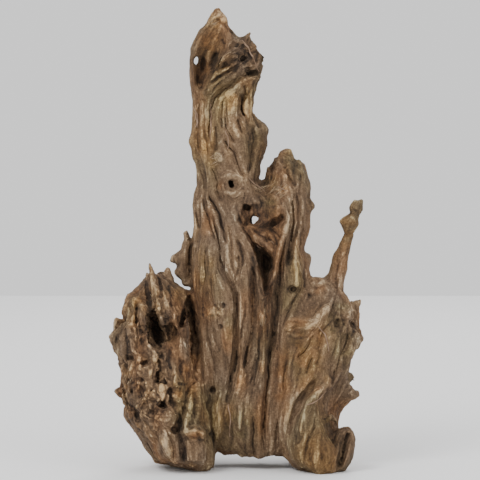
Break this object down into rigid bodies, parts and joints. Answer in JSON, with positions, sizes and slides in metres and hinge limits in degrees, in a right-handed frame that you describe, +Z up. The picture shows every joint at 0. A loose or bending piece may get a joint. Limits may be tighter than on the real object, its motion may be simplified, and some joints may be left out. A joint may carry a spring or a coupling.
{
  "type": "aquarium driftwood root",
  "caption": "Upright weathered root with a tall spire, a shorter spire beside it, a hollow burl on the left, a thin arm on the right and deep drying cracks, standing on its cut root ends.",
  "frame": {"origin": "centre of the bounding box at floor level, under the root", "axes": "+Z up along the spires, the pictured front faces -Y, +X to the right as seen from the front"},
  "size_m": [0.221, 0.1188, 0.3998],
  "materials": {
    "driftwood": "dry weathered wood, matte, tan ridges over dark brown cracks with paler fibre patches"
  },
  "bodies": {
    "root": {"driftwood_root": "driftwood"}
  },
  "joints": []
}
